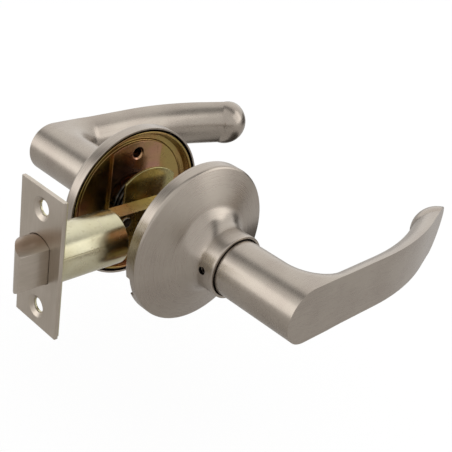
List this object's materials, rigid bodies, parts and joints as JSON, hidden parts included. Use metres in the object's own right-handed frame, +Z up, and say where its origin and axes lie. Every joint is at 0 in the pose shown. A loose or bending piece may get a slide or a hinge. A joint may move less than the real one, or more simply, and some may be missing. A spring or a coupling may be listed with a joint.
{
  "type": "door lever handle",
  "caption": "Tubular passage lever set: curved flat-faced levers on round roses either side of a door, with a spring latch and square-cornered faceplate.",
  "frame": {"origin": "where the spindle axis crosses the latch axis, in the middle of the door's thickness: the centre of the door's cross bore", "axes": "+X the way both levers point, away from the door's edge; -Y the near (inside) lever; +Z up"},
  "size_m": [0.1853, 0.1596, 0.067],
  "materials": {
    "satin_nickel": "satin brushed nickel plating, fine grain",
    "yellow_zinc": "yellow dichromate zinc plating on sheet steel, gold to olive and red",
    "pale_zinc": "pale yellow-green zinc plating, smooth",
    "spring_steel": "dark oiled spring steel",
    "bright_steel": "bright zinc-plated steel"
  },
  "bodies": {
    "door_side": {"front_rose": "satin_nickel", "front_liner": "yellow_zinc", "front_mounting_plate": "yellow_zinc", "front_return_spring": "spring_steel", "rear_rose": "satin_nickel", "rear_liner": "yellow_zinc", "rear_mounting_plate": "yellow_zinc", "rear_return_spring": "spring_steel", "faceplate": "satin_nickel", "back_plate": "yellow_zinc", "latch_tube": "pale_zinc", "tube_plug": "spring_steel", "latch_spring": "spring_steel", "case_channel": "yellow_zinc", "case_side": "yellow_zinc", "case_rivets": "bright_steel"},
    "front_handle": {"front_lever": "satin_nickel", "front_sleeve": "yellow_zinc", "front_retaining_ring": "spring_steel", "front_drive_plate": "yellow_zinc", "front_catch_spring": "spring_steel"},
    "rear_handle": {"rear_lever": "satin_nickel", "rear_sleeve": "yellow_zinc", "rear_retaining_ring": "spring_steel", "rear_drive_plate": "yellow_zinc", "rear_catch_spring": "spring_steel"},
    "spindle": {"spindle": "yellow_zinc", "latch_cam": "bright_steel"},
    "latch_bolt": {"bolt": "satin_nickel", "drawbar": "yellow_zinc"},
    "front_catch": {"front_catch": "bright_steel"},
    "rear_catch": {"rear_catch": "bright_steel"}
  },
  "joints": [
    {"name": "front_lever_turn", "type": "hinge", "parent": "door_side", "child": "front_handle", "pos_m": [0, 0, 0], "axis": [0, 1, 0], "range_deg": [0, 50], "stiffness_Nm_per_rad": 0.4, "springref_deg": -34.38, "deforming": ["front_return_spring"]},
    {"name": "rear_lever_turn", "type": "hinge", "parent": "door_side", "child": "rear_handle", "pos_m": [0, 0, 0], "axis": [0, 1, 0], "range_deg": [0, 50], "stiffness_Nm_per_rad": 0.4, "springref_deg": -34.38, "deforming": ["rear_return_spring"]},
    {"name": "spindle_turn", "type": "hinge", "parent": "door_side", "child": "spindle", "pos_m": [0, 0, 0], "axis": [0, 1, 0], "range_deg": [0, 50]},
    {"name": "bolt_slide", "type": "slide", "parent": "door_side", "child": "latch_bolt", "axis": [1, 0, 0], "range_m": [0, 0.012], "deforming": ["latch_spring"]},
    {"name": "front_catch_press", "type": "slide", "parent": "front_handle", "child": "front_catch", "axis": [1, 0, 0], "range_m": [0, 0.0022], "stiffness_N_per_m": 400, "springref_m": -0.002, "deforming": ["front_catch_spring"]},
    {"name": "rear_catch_press", "type": "slide", "parent": "rear_handle", "child": "rear_catch", "axis": [1, 0, 0], "range_m": [0, 0.0022], "stiffness_N_per_m": 400, "springref_m": -0.002, "deforming": ["rear_catch_spring"]}
  ],
  "couplings": [
    {"joint": "rear_lever_turn", "follows": "front_lever_turn", "ratio": 1},
    {"joint": "spindle_turn", "follows": "front_lever_turn", "ratio": 1},
    {"joint": "bolt_slide", "follows": "front_lever_turn", "m_per_rad": 0.01375}
  ]
}
